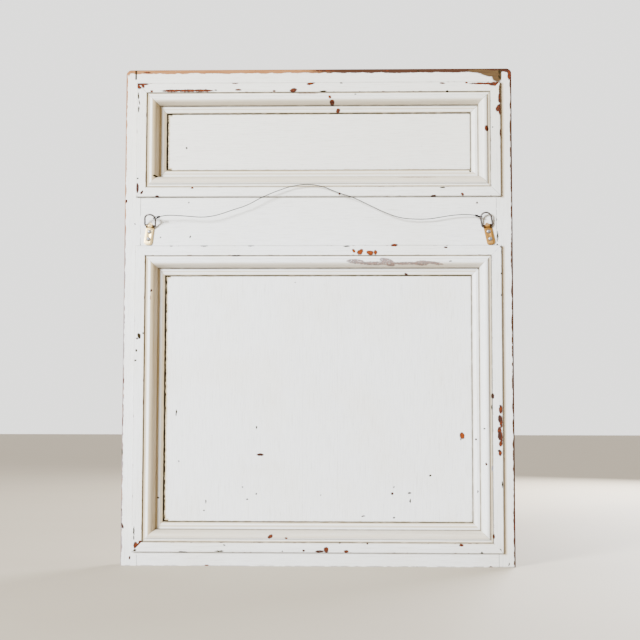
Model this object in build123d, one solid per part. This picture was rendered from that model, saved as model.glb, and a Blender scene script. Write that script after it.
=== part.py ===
"""Trumeau mirror made from old panelling: a jointed frame with a moulded panel in each of its two openings.

The lower opening holds the mirror plate. Sizes are in millimetres. The origin is at the middle of the foot,
+Z is up, the mirror faces -Y and the wall side faces +Y. Left and right are those of someone who faces the mirror.
"""
from math import cos, pi, radians, sin, sqrt, tan
import os

from build123d import *

# Jointed frame
opening_width = 605.0
stile_width = 27.5
frame_thickness = 38.0
bottom_rail_width = 30.5
lower_opening_height = 500.0
middle_rail_width = 99.0
upper_opening_height = 181.7
top_rail_width = 31.8
top_corner_radius = 9.0
arris_radius = 2.0

# Mortises, tenons and tongues
tenon_length = 20.0
tenon_thickness = 12.0
tenon_shoulder = 8.0
tongue_length = 8.0
tongue_thickness = 12.0
joint_end_gap = 1.0
corner_lap_length = 10.5
corner_lap_thickness = 11.0

# Mouldings round the openings, widths from the outer edge inwards
moulding_lap = 7.5
moulding_proud = 6.0
moulding_arris = 1.2
fascia_width = 16.2
quirk_slant = 0.8
quirk_width = 4.5
quirk_rise = 2.8
ovolo_width = 15.3
ovolo_crest = 1.0
ovolo_turn = 60.0
back_ovolo_drop = 19.5
front_ovolo_drop = 9.5
back_fillet_width = 5.0
back_bevel_width = 7.2
back_lip_thickness = 2.4
lip_relief = 0.7
lip_relief_width = 1.5

# Panels, mirror plate and glazing beads
rebate_width = 10.0
panel_recess = 18.0
panel_thickness = 10.0
panel_edge_gap = 1.0
right_board_width = 244.3
centre_board_width = 59.1
board_tongue_length = 4.0
board_tongue_thickness = 3.2
backing_thickness = 1.0
glass_thickness = 4.0
glass_edge_gap = 1.5
bead_width = 12.0
lower_bead_thickness = 7.0
upper_bead_thickness = 9.0
bead_round = 5.0

# Strap hangers and their screws
strap_width = 14.0
strap_length = 32.5
strap_sheet = 1.2
strap_end_radius = 5.0
strap_hole_radius = 2.1
first_screw_from_fold = 9.7
screw_spacing = 12.7
screw_head_radius = 3.5
screw_head_height = 2.2
screw_head_rim = 0.9
screw_head_crown_radius = 2.0
screw_shank_radius = 1.7
screw_shank_length = 14.0
screw_hole_clearance = 0.25
left_hanger_inset = 15.5
left_hanger_rise = 40.5
left_hanger_tilt = 12.0
left_ring_lift = 15.0
right_hanger_inset = 17.0
right_hanger_rise = 41.3
right_hanger_tilt = 7.0
right_ring_lift = 41.0

# D-rings
ring_wire_radius = 1.5
ring_wire_sides = 8
ring_bore_clearance = 0.15
ring_half_width = 9.0
ring_corner_radius = 2.6
ring_straight_height = 14.3

# Picture wire and its twisted ties
wire_radius = 0.75
wire_sides = 6
tie_place_on_ring = 24.0
tie_ring_gap = 0.4
tie_self_gap = 0.45
tie_neck = 4.9
tie_turns = 1.25
tie_pitch = 2.0
tie_length = 9.0
tie_to_wire_gap = 0.8
wire_first_run = 8.0

# Hand-picked route of the wire between its two ties, from the right hanger to the left one: the share of
# half the opening across, the height proud of the stiles and the height above the lower opening
wire_route = [
    (0.8033, 19.4, 57.5),
    (0.7240, 18.0, 55.8),
    (0.6380, 16.6, 53.9),
    (0.5587, 15.4, 58.0),
    (0.4760, 14.6, 67.0),
    (0.3934, 14.6, 74.7),
    (0.3140, 14.9, 88.3),
    (0.2314, 15.2, 98.7),
    (0.1421, 15.2, 107.9),
    (0.0529, 14.8, 110.9),
    (-0.0298, 14.2, 107.1),
    (-0.1124, 13.4, 96.1),
    (-0.1950, 12.7, 88.9),
    (-0.2810, 12.0, 76.1),
    (-0.3702, 11.2, 63.1),
    (-0.4562, 10.6, 53.4),
    (-0.5421, 10.0, 51.1),
    (-0.6281, 9.6, 51.5),
    (-0.7107, 9.4, 56.1),
    (-0.7835, 9.6, 58.9),
]

# Levels and outlines that follow from the sizes above
opening_half = opening_width / 2
outer_half = opening_half + stile_width
back_face = frame_thickness / 2
front_face = -back_face
lower_opening_bottom = bottom_rail_width
lower_opening_top = lower_opening_bottom + lower_opening_height
upper_opening_bottom = lower_opening_top + middle_rail_width
upper_opening_top = upper_opening_bottom + upper_opening_height
overall_height = upper_opening_top + top_rail_width
ovolo_start = fascia_width + quirk_slant + quirk_width
ovolo_end = ovolo_start + ovolo_width
moulding_width = ovolo_end + back_fillet_width + back_bevel_width
rebate_wall = moulding_width - rebate_width
crest_level = back_face + moulding_proud + ovolo_crest
panel_back = back_face - panel_recess
panel_front = panel_back - panel_thickness
glass_back = panel_front - backing_thickness
glass_front = glass_back - glass_thickness
strap_top = back_face + 2 * strap_sheet
knuckle_radius = ring_wire_radius + ring_bore_clearance + strap_sheet
ring_axis_y = back_face + knuckle_radius
far = 4 * overall_height


class Rectangle2D:
    """Upright rectangle in the plane of the frame, by its four sides."""

    def __init__(self, x0, x1, z0, z1):
        self.x0 = x0
        self.x1 = x1
        self.z0 = z0
        self.z1 = z1

    def grown(self, margin):
        return Rectangle2D(self.x0 - margin, self.x1 + margin, self.z0 - margin, self.z1 + margin)

    def corners(self):
        return [(self.x0, self.z0), (self.x1, self.z0), (self.x1, self.z1), (self.x0, self.z1)]


lower_opening = Rectangle2D(-opening_half, opening_half, lower_opening_bottom, lower_opening_top)
upper_opening = Rectangle2D(-opening_half, opening_half, upper_opening_bottom, upper_opening_top)
lower_moulding = lower_opening.grown(moulding_lap)
upper_moulding = upper_opening.grown(moulding_lap)
lower_rebate = lower_moulding.grown(-rebate_wall)
upper_rebate = upper_moulding.grown(-rebate_wall)


def block(x0, x1, y0, y1, z0, z1):
    """Box between two corners."""
    box = Box(x1 - x0, y1 - y0, z1 - z0, align=(Align.MIN, Align.MIN, Align.MIN))
    return Pos(x0, y0, z0) * box


def slab(rectangle, y0, y1):
    """Box that fills a rectangle of the frame's plane between two depths."""
    return block(rectangle.x0, rectangle.x1, y0, y1, rectangle.z0, rectangle.z1)


# Stiles


def top_rail_tenon_levels():
    return upper_opening_top + tenon_shoulder, overall_height - tenon_shoulder


def bottom_rail_tenon_levels():
    return tenon_shoulder, lower_opening_bottom - tenon_shoulder / 2


def middle_rail_tenon_levels():
    return lower_opening_top + tenon_shoulder, upper_opening_bottom - tenon_shoulder


def stile_outline():
    """Upright with its top outer corner rounded, on the right side of the frame."""
    width = outer_half - opening_half
    outline = Rectangle(width, overall_height, align=(Align.MIN, Align.MIN))
    outline = Pos(opening_half, 0) * outline
    corner = outline.vertices().sort_by(Axis.X)[-2:].sort_by(Axis.Y)[-1]
    return fillet(corner, top_corner_radius)


def right_stile():
    """Right upright with its tongues, mortises and the notch for the top rail's lap."""
    plane = Plane(origin=(0, back_face, 0), x_dir=(1, 0, 0), z_dir=(0, -1, 0))
    stile = extrude(plane * stile_outline(), amount=frame_thickness)
    eased = [edge for edge in stile.edges() if is_outer_edge(edge)]
    stile = fillet(eased, arris_radius)
    for opening in (lower_opening, upper_opening):
        stile += block(
            opening_half - tongue_length,
            opening_half,
            -tongue_thickness / 2,
            tongue_thickness / 2,
            opening.z0,
            opening.z1,
        )
    for low, high in (top_rail_tenon_levels(), middle_rail_tenon_levels(), bottom_rail_tenon_levels()):
        stile -= block(
            opening_half,
            opening_half + tenon_length + joint_end_gap,
            -tenon_thickness / 2,
            tenon_thickness / 2,
            low,
            high,
        )
    stile -= block(
        opening_half,
        opening_half + corner_lap_length,
        back_face - corner_lap_thickness,
        back_face,
        upper_opening_top,
        overall_height,
    )
    return stile


def is_outer_edge(edge):
    """True for the edges of the two faces along the outer side, the round corner and the top."""
    middle = edge @ 0.5
    on_face = abs(abs(middle.Y) - back_face) < 0.01
    on_side = middle.X > opening_half + stile_width - 1.01 * top_corner_radius
    on_top = middle.Z > overall_height - 1.01 * top_corner_radius
    at_foot = middle.Z < 0.01
    return on_face and (on_side or on_top) and not at_foot


# Rails


def rail(low, high, tenon_levels):
    """Cross member between the stiles with a stub tenon at each end."""
    body = block(-opening_half, opening_half, front_face, back_face, low, high)
    reach = opening_half + tenon_length
    body += block(-reach, reach, -tenon_thickness / 2, tenon_thickness / 2, *tenon_levels)
    return body


def rail_tongue(low, high):
    """Tongue along a rail's edge, stopped where the tongues of the stiles run."""
    reach = opening_half - tongue_length
    return block(-reach, reach, -tongue_thickness / 2, tongue_thickness / 2, low, high)


def top_rail():
    """Top rail with its top arrises eased and a lap over each stile on the wall side."""
    body = rail(upper_opening_top, overall_height, top_rail_tenon_levels())
    reach = opening_half + corner_lap_length
    body += block(
        -reach, reach, back_face - corner_lap_thickness, back_face, upper_opening_top, overall_height
    )
    top_edges = body.edges().filter_by(Axis.X).group_by(Axis.Z)[-1]
    eased = [edge for edge in top_edges if abs(abs((edge @ 0.5).Y) - back_face) < 0.01]
    body = fillet(eased, arris_radius)
    return body + rail_tongue(upper_opening_top - tongue_length, upper_opening_top)


def middle_rail():
    """Middle rail with a tongue on both edges and the holes of the strap screws."""
    body = rail(lower_opening_top, upper_opening_bottom, middle_rail_tenon_levels())
    body += rail_tongue(lower_opening_top - tongue_length, lower_opening_top)
    body += rail_tongue(upper_opening_bottom, upper_opening_bottom + tongue_length)
    hole_depth = screw_shank_length - 2 * strap_sheet + joint_end_gap
    hole = Cylinder(
        screw_shank_radius + screw_hole_clearance, hole_depth, align=(Align.CENTER, Align.CENTER, Align.MAX)
    )
    for side in ("left", "right"):
        for distance in screw_distances():
            body -= strap_plane(side, distance, back_face).location * hole
    return body


def bottom_rail():
    """Bottom rail with a tongue on its upper edge."""
    body = rail(0, lower_opening_bottom, bottom_rail_tenon_levels())
    return body + rail_tongue(lower_opening_bottom, lower_opening_bottom + tongue_length)


# Mouldings


def two_centre_radii(width, height, turn):
    """Radii of two arcs that turn from level to plumb over a given width and height."""
    s = sin(radians(turn))
    c = cos(radians(turn))
    first = (width * c - height * (1 - s)) / (s * c - (1 - s) * (1 - c))
    second = (height - first * (1 - c)) / c
    return first, second


def moulded_face(side, ovolo_drop):
    """Fascia, quirk and ovolo of one face: side is 1 for the wall side and -1 for the mirror side."""
    proud = back_face + moulding_proud
    quirk = back_face + quirk_rise
    crest_radius = crest_level - quirk
    crest = (ovolo_start + crest_radius, crest_level)
    turn = radians(ovolo_turn)
    first, _ = two_centre_radii(ovolo_end - crest[0], ovolo_drop, ovolo_turn)
    shoulder = (crest[0] + first * sin(turn), crest[1] - first * (1 - cos(turn)))
    ovolo_foot = (ovolo_end, crest_level - ovolo_drop)

    def at(point):
        return point[0], side * point[1]

    return [
        Line(at((0, back_face)), at((0, proud - moulding_arris))),
        Line(at((0, proud - moulding_arris)), at((moulding_arris, proud))),
        Line(at((moulding_arris, proud)), at((fascia_width, proud))),
        Line(at((fascia_width, proud)), at((fascia_width + quirk_slant, quirk))),
        Line(at((fascia_width + quirk_slant, quirk)), at((ovolo_start, quirk))),
        TangentArc(at((ovolo_start, quirk)), at(crest), tangent=at((0, 1))),
        TangentArc(at(crest), at(shoulder), tangent=at((1, 0))),
        TangentArc(at(shoulder), at(ovolo_foot), tangent=at((cos(turn), -sin(turn)))),
    ]


def moulding_section():
    """Cross-section of the mouldings: X runs inwards from the outer edge, Y towards the wall."""
    back_fillet = crest_level - back_ovolo_drop
    front_flat = front_ovolo_drop - crest_level
    groove_end = moulding_lap + tongue_length + joint_end_gap
    lip = Polyline(
        (ovolo_end, back_fillet),
        (ovolo_end + back_fillet_width, back_fillet),
        (moulding_width, panel_back + lip_relief + back_lip_thickness),
        (moulding_width, panel_back + lip_relief),
        (moulding_width - lip_relief_width, panel_back),
        (rebate_wall, panel_back),
        (rebate_wall, front_flat),
        (ovolo_end, front_flat),
    )
    groove = Polyline(
        (0, front_face),
        (moulding_lap, front_face),
        (moulding_lap, -tongue_thickness / 2),
        (groove_end, -tongue_thickness / 2),
        (groove_end, tongue_thickness / 2),
        (moulding_lap, tongue_thickness / 2),
        (moulding_lap, back_face),
        (0, back_face),
    )
    lines = moulded_face(1, back_ovolo_drop) + [lip, groove] + moulded_face(-1, front_ovolo_drop)
    return make_face(Curve() + lines)


def bead_section(seat, thickness):
    """Cross-section of a glazing bead that stands on a seat and faces the mirror side."""
    face = seat - thickness
    round_start = (bead_width - bead_round, face)
    round_end = (bead_width, face + bead_round)
    straight = Polyline(round_end, (bead_width, seat), (0, seat), (0, face), round_start)
    return make_face(Curve() + [straight, TangentArc(round_start, round_end, tangent=(1, 0))])


def mitred_sides(rectangle, section, width):
    """The four sides of a frame whose section runs inwards from a rectangle, cut at 45 degrees."""
    outer = rectangle.corners()
    inner = rectangle.grown(-width).corners()
    inward = {"bottom": (0, 0, 1), "right": (-1, 0, 0), "top": (0, 0, -1), "left": (1, 0, 0)}
    sides = {}
    for here, name in enumerate(inward):
        after = (here + 1) % len(outer)
        outline = [Vector(x, 0, z) for x, z in (outer[here], outer[after], inner[after], inner[here])]
        direction = Vector(*inward[name])
        run = direction.cross(Vector(0, 1, 0))
        middle = (outline[0] + outline[1]) / 2
        length = (outline[1] - outline[0]).length
        plane = Plane(origin=middle - run * (length / 2), x_dir=direction, z_dir=run)
        bar = extrude(plane * section, amount=length, dir=run)
        wedge = extrude(make_face(Polyline(*outline, close=True)), amount=far, dir=(0, 1, 0), both=True)
        sides[name] = bar & wedge
    return sides


# Panels and mirror plate


def upper_panel():
    return slab(upper_rebate.grown(-panel_edge_gap), panel_front, panel_back)


def lower_panel_boards():
    """Three boards side by side, joined by a tongue in the middle of their thickness."""
    whole = lower_rebate.grown(-panel_edge_gap)
    middle = (panel_front + panel_back) / 2
    tongue_front = middle - board_tongue_thickness / 2
    tongue_back = middle + board_tongue_thickness / 2
    right_joint = whole.x1 - right_board_width
    left_joint = right_joint - centre_board_width
    limits = {
        "left": (whole.x0, left_joint),
        "centre": (left_joint, right_joint),
        "right": (right_joint, whole.x1),
    }
    boards = {}
    for name, (x0, x1) in limits.items():
        board = block(x0, x1, panel_front, panel_back, whole.z0, whole.z1)
        if name != "right":
            board += block(x1, x1 + board_tongue_length, tongue_front, tongue_back, whole.z0, whole.z1)
        if name != "left":
            board -= block(x0, x0 + board_tongue_length, tongue_front, tongue_back, whole.z0, whole.z1)
        boards[name] = board
    return boards


def mirror_backing():
    return slab(lower_rebate.grown(-glass_edge_gap), glass_back, panel_front)


def mirror_glass():
    return slab(lower_rebate.grown(-glass_edge_gap), glass_front, glass_back)


# Strap hangers


# Place across, place up, tilt, lift of the ring and the side on which the middle lies
hangers = {
    "left": (
        left_hanger_inset - opening_half,
        lower_opening_top + left_hanger_rise,
        left_hanger_tilt,
        left_ring_lift,
        1,
    ),
    "right": (
        opening_half - right_hanger_inset,
        lower_opening_top + right_hanger_rise,
        right_hanger_tilt,
        right_ring_lift,
        -1,
    ),
}


def strap_frame(side):
    """Fold centre of a strap, the direction along the fold to the middle, and the direction up the strap."""
    x, z, tilt, _, inward = hangers[side]
    lean = radians(tilt)
    centre = Vector(x, ring_axis_y, z)
    fold = Vector(inward * cos(lean), 0, -sin(lean))
    up = Vector(inward * sin(lean), 0, cos(lean))
    return centre, fold, up


def strap_plane(side, distance, level):
    """Plane that faces the wall side, at a distance below the fold of a strap."""
    centre, fold, up = strap_frame(side)
    origin = Vector(centre.X, level, centre.Z) - up * distance
    return Plane(origin=origin, x_dir=fold, z_dir=(0, 1, 0))


def screw_distances():
    return first_screw_from_fold, first_screw_from_fold + screw_spacing


def hanger_strap(side):
    """Sheet folded double round the ring's bar, with a round foot and two screw holes."""
    centre, fold, up = strap_frame(side)
    plane = Plane(origin=centre - fold * (strap_width / 2), x_dir=up, z_dir=fold)
    outwards = 1 if plane.y_dir.Y > 0 else -1
    seat = outwards * (back_face - ring_axis_y)
    top = outwards * (strap_top - ring_axis_y)
    tail = make_face(Polyline((0, seat), (0, top), (-strap_length, top), (-strap_length, seat), close=True))
    section = tail + Circle(knuckle_radius) - Circle(ring_wire_radius + ring_bore_clearance)
    strap = extrude(plane * section, amount=strap_width, dir=fold)
    foot = [edge for edge in strap.edges().filter_by(Axis.Y) if edge.length < 3 * strap_sheet]
    foot = sorted(foot, key=lambda edge: ((edge @ 0.5) - centre).dot(up))[:2]
    strap = fillet(foot, strap_end_radius)
    hole = Cylinder(strap_hole_radius, far)
    for distance in screw_distances():
        strap -= strap_plane(side, distance, back_face).location * hole
    return strap


def pan_head_screw():
    """Pan head screw without its thread: its seat is at the origin and its shank points down."""
    half = Polyline(
        (0, -screw_shank_length),
        (screw_shank_radius, -screw_shank_length),
        (screw_shank_radius, 0),
        (screw_head_radius, 0),
        (screw_head_radius, screw_head_rim),
        (screw_head_crown_radius, screw_head_height),
        (0, screw_head_height),
        close=True,
    )
    return revolve(Plane.XZ * make_face(half), Axis.Z)


def strap_screws():
    """The two screws of each strap."""
    screw = pan_head_screw()
    places = [strap_plane(side, distance, strap_top) for side in hangers for distance in screw_distances()]
    return Compound(children=[place.location * screw for place in places])


# D-rings


def ring_frame(side):
    """Fold centre, fold direction to the middle of the frame and the direction in which the ring stands."""
    centre, fold, up = strap_frame(side)
    lift = radians(hangers[side][3])
    return centre, fold, up * cos(lift) + Vector(0, 1, 0) * sin(lift)


def d_ring(side):
    """Ring of wire with eight sides and a straight bar in the fold of the strap."""
    centre, fold, stand = ring_frame(side)
    plane = Plane(origin=centre, x_dir=fold, z_dir=fold.cross(stand))
    bar_half = ring_half_width - ring_corner_radius
    bend = ring_corner_radius
    path = Curve() + [
        Line((0, 0), (bar_half, 0)),
        TangentArc((bar_half, 0), (ring_half_width, bend), tangent=(1, 0)),
        Line((ring_half_width, bend), (ring_half_width, ring_straight_height)),
        ThreePointArc(
            (ring_half_width, ring_straight_height),
            (0, ring_straight_height + ring_half_width),
            (-ring_half_width, ring_straight_height),
        ),
        Line((-ring_half_width, ring_straight_height), (-ring_half_width, bend)),
        TangentArc((-ring_half_width, bend), (-bar_half, 0), tangent=(0, -1)),
        Line((-bar_half, 0), (0, 0)),
    ]
    profile = Plane.YZ * RegularPolygon(ring_wire_radius, ring_wire_sides)
    return plane.location * sweep(profile, path=Wire(path.edges()))


# Ties and wire


def biarc(start, leaving, end, arriving):
    """Two arcs that join two points with the given directions and meet smoothly."""
    chord = end - start
    both = leaving + arriving
    spread = 2 * (1 - leaving.dot(arriving))
    reach = chord.dot(both)
    if spread < 1e-6:
        handle = chord.dot(chord) / (2 * reach)
    else:
        handle = (sqrt(reach * reach + spread * chord.dot(chord)) - reach) / spread
    near = start + leaving * handle
    distant = end - arriving * handle
    joint = (near + distant) / 2
    across = (distant - near).normalized()
    return [TangentArc(start, joint, tangent=leaving), TangentArc(joint, end, tangent=across)]


def tie_frame(side):
    """Centre of the ring's wire where the tie sits, the way out of the ring, and along the ring's wire."""
    centre, fold, stand = ring_frame(side)
    place = radians(tie_place_on_ring)
    outwards = fold * cos(place) + stand * sin(place)
    along = stand * cos(place) - fold * sin(place)
    seat = centre + stand * ring_straight_height + outwards * ring_half_width
    return seat, outwards, along


def tie_nodes():
    """Points and directions of the tie: round the ring's wire, then in turns round the wire itself."""
    eye = ring_wire_radius + tie_ring_gap + wire_radius
    coil = 2 * wire_radius + tie_self_gap
    drift = coil / 4
    slope = drift / eye / 2
    nodes = [
        ((tie_neck, 0, 0), (-1, 0, 0)),
        ((0, eye, -drift), (-1, 0, -slope)),
        ((-eye, 0, -2 * drift), (0, -1, -slope)),
        ((0, -eye, -3 * drift), (1, 0, -slope)),
    ]
    for step in range(int(4 * tie_turns) + 1):
        angle = step * pi / 2
        place = (tie_neck + tie_pitch * step / 4, coil * sin(angle), -coil * cos(angle))
        heading = (tie_pitch / (2 * pi * coil), cos(angle), sin(angle))
        nodes.append((place, heading))
    return [(Vector(*place), Vector(*heading).normalized()) for place, heading in nodes]


def tie_path():
    """The tie's centre line: X leads out of the ring and Z runs along the ring's wire."""
    nodes = tie_nodes()
    edges = [Line((tie_length, 0, 0), nodes[0][0])]
    for (p0, d0), (p1, d1) in zip(nodes, nodes[1:]):
        edges += biarc(p0, d0, p1, d1)
    return edges


def wire_tie(side):
    """Twisted end of the picture wire, one tube of six sides."""
    seat, outwards, along = tie_frame(side)
    end = Plane(origin=(tie_length, 0, 0), x_dir=(0, 0, 1), z_dir=(-1, 0, 0))
    tube = sweep(end * RegularPolygon(wire_radius, wire_sides), path=Wire(tie_path()), clean=False)
    return Plane(origin=seat, x_dir=outwards, z_dir=along).location * tube


def picture_wire_points():
    """Route of the free wire between the ties, with a short first and last run in line with them."""
    seat, outwards, _ = tie_frame("right")
    start = seat + outwards * (tie_length + tie_to_wire_gap)
    first = start + outwards * wire_first_run
    seat, outwards, _ = tie_frame("left")
    end = seat + outwards * (tie_length + tie_to_wire_gap)
    last = end + outwards * wire_first_run
    route = [
        Vector(across * opening_half, back_face + proud, lower_opening_top + rise)
        for across, proud, rise in wire_route
    ]
    return [start, first] + route + [last, end]


def corner_radii(points):
    """Largest easy arc at each corner: 0.45 of the shorter run over the tangent of half the turn."""
    radii = []
    for before, here, after in zip(points, points[1:], points[2:]):
        turn = radians((here - before).get_angle(after - here))
        shorter = min((here - before).length, (after - here).length)
        radii.append(0.45 * shorter / tan(turn / 2))
    return radii


def picture_wire():
    """Wire of six sides along straight runs joined by tangent arcs."""
    points = picture_wire_points()
    radii = corner_radii(points)
    print("wire corner radii", [round(radius, 1) for radius in radii])
    path = FilletPolyline(*points, radius=radii)
    direction = (points[1] - points[0]).normalized()
    section = Plane(origin=points[0], z_dir=direction) * RegularPolygon(wire_radius, wire_sides)
    wire = sweep(section, path=path)
    print("wire length", round(path.length, 1), "volume", round(wire.volume, 1))
    print("section times length", round(section.area * path.length, 1))
    return wire


def least_self_gap(edges):
    """Least gap between two stretches of a tie that lie over half a turn apart."""
    points = []
    run = 0.0
    for edge in edges:
        for step in range(8):
            points.append((run + edge.length * step / 8, edge @ (step / 8)))
        run += edge.length
    apart = pi * (2 * wire_radius + tie_self_gap)
    gaps = [(q - p).length for s, p in points for t, q in points if t - s > apart]
    return min(gaps) - 2 * wire_radius


# All nodes


def all_nodes():
    nodes = {
        "stile_right": right_stile(),
        "stile_left": mirror(right_stile(), about=Plane.YZ),
        "top_rail": top_rail(),
        "middle_rail": middle_rail(),
        "bottom_rail": bottom_rail(),
        "upper_panel": upper_panel(),
        "mirror_backing": mirror_backing(),
        "mirror_glass": mirror_glass(),
        "strap_screws": strap_screws(),
        "picture_wire": picture_wire(),
    }
    for name, board in lower_panel_boards().items():
        nodes[f"lower_panel_board_{name}"] = board
    for level, outer in (("upper", upper_moulding), ("lower", lower_moulding)):
        for name, side in mitred_sides(outer, moulding_section(), moulding_width).items():
            nodes[f"{level}_moulding_{name}"] = side
    upper_bead = bead_section(panel_front, upper_bead_thickness)
    lower_bead = bead_section(glass_front, lower_bead_thickness)
    for level, rebate, bead in (("upper", upper_rebate, upper_bead), ("lower", lower_rebate, lower_bead)):
        for name, side in mitred_sides(rebate, bead, bead_width).items():
            nodes[f"{level}_bead_{name}"] = side
    for side in ("left", "right"):
        nodes[f"hanger_strap_{side}"] = hanger_strap(side)
        nodes[f"d_ring_{side}"] = d_ring(side)
        nodes[f"wire_tie_{side}"] = wire_tie(side)
    print("tie least gap to itself", round(least_self_gap(tie_path()), 2))
    return nodes


def main():
    os.makedirs("parts", exist_ok=True)
    for name, shape in all_nodes().items():
        export_step(shape, f"parts/{name}.step")


main()
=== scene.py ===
"""Dresses the trumeau mirror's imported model: worn paint, the mirror plate, the hangers and the picture wire.

Levels, the wear table, the places that a finish reads and the sizes that are multiplied by MM are in
millimetres. Everything else is in metres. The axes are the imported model's: the mirror faces -Y, the wall
side with the hangers faces +Y, and +Z is up.
"""
import math

import bmesh
import bpy
from mathutils import Matrix, Vector


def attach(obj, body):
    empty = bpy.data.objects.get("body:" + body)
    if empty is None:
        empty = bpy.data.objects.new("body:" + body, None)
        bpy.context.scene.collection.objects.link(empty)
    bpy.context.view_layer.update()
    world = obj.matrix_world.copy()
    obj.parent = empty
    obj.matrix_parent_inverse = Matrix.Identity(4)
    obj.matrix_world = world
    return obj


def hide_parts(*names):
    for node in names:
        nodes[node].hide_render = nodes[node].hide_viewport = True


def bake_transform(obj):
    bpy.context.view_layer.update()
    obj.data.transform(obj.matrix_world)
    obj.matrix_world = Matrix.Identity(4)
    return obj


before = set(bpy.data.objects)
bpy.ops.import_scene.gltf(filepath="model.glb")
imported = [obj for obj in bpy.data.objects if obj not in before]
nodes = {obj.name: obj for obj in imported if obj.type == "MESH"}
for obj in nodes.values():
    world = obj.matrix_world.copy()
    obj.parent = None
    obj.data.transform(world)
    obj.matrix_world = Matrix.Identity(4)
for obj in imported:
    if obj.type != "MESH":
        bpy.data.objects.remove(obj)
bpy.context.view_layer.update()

bl_info = {
    "name": "Trumeau mirror dresser",
    "version": (1, 0, 0),
    "blender": (4, 5, 0),
    "location": "View3D > Sidebar > Mirror",
    "description": "Paint, wear, mirror plate, hangers and picture wire of a panelled trumeau mirror",
    "category": "Object",
}

MM = 0.001

# Levels of the frame and its mouldings, in millimetres
BACK_FACE = 19.0
STILE_HALF = 330.0
HEIGHT = 843.0
OPENING_HALF = 302.5
LAP_HALF = 313.0
TOP_RAIL_FOOT = 811.2
MOULDING_HALF = 310.0
MOULDING_LEVELS = {"upper": (622.0, 818.7), "lower": (23.0, 538.0)}
MOULDING_WIDTH = 49.0
PANEL_HALF = MOULDING_HALF - MOULDING_WIDTH
BOARD_JOINTS = (-33.4, 25.7)

# Lines of a moulding, inwards from its outer edge, in millimetres
QUIRK = 17.0
FILLET_LINE = 36.8
PLATE_EDGE = 46.0

# Points of the picture wire, from the right hanger to the left one
WIRE_ROUTE = [
    (0.2664, 0.0362, 0.5861),
    (0.2589, 0.0384, 0.5877),
    (0.2430, 0.0384, 0.5880),
    (0.2190, 0.0370, 0.5863),
    (0.1930, 0.0356, 0.5844),
    (0.1690, 0.0344, 0.5885),
    (0.1440, 0.0336, 0.5975),
    (0.1190, 0.0336, 0.6052),
    (0.0950, 0.0339, 0.6188),
    (0.0700, 0.0342, 0.6292),
    (0.0430, 0.0342, 0.6384),
    (0.0160, 0.0338, 0.6414),
    (-0.0090, 0.0332, 0.6376),
    (-0.0340, 0.0324, 0.6266),
    (-0.0590, 0.0317, 0.6194),
    (-0.0850, 0.0310, 0.6066),
    (-0.1120, 0.0302, 0.5936),
    (-0.1380, 0.0296, 0.5839),
    (-0.1640, 0.0290, 0.5816),
    (-0.1900, 0.0286, 0.5820),
    (-0.2150, 0.0284, 0.5866),
    (-0.2370, 0.0286, 0.5894),
    (-0.2580, 0.0284, 0.5897),
    (-0.2658, 0.0275, 0.5882),
]

# Each hanger: fold of its strap, direction along the fold to the middle, direction in which the ring stands
HANGERS = {
    "left": ((-0.287, 0.02185, 0.571), (0.97815, 0.0, -0.20791), (0.20083, 0.25882, 0.94482)),
    "right": ((0.2855, 0.02185, 0.5718), (-0.99255, 0.0, -0.12187), (-0.09198, 0.65606, 0.74908)),
}

# The ring's round end: its centre above the fold and its radius, in millimetres
RING_CROWN = 14.3
RING_RADIUS = 9.0

# The camera that the picture of the back was taken with: place, turn in degrees and lens in millimetres
CAMERA_PLACE = (-0.06256, 2.20881, 0.25075)
CAMERA_TURN = (94.2050, -0.1068, -178.4745)
CAMERA_LENS = 73.125

# Each side of an opening, and the way that the grain of its wood runs
SIDE_GRAINS = {"top": "across", "bottom": "across", "left": "upright", "right": "upright"}

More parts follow.
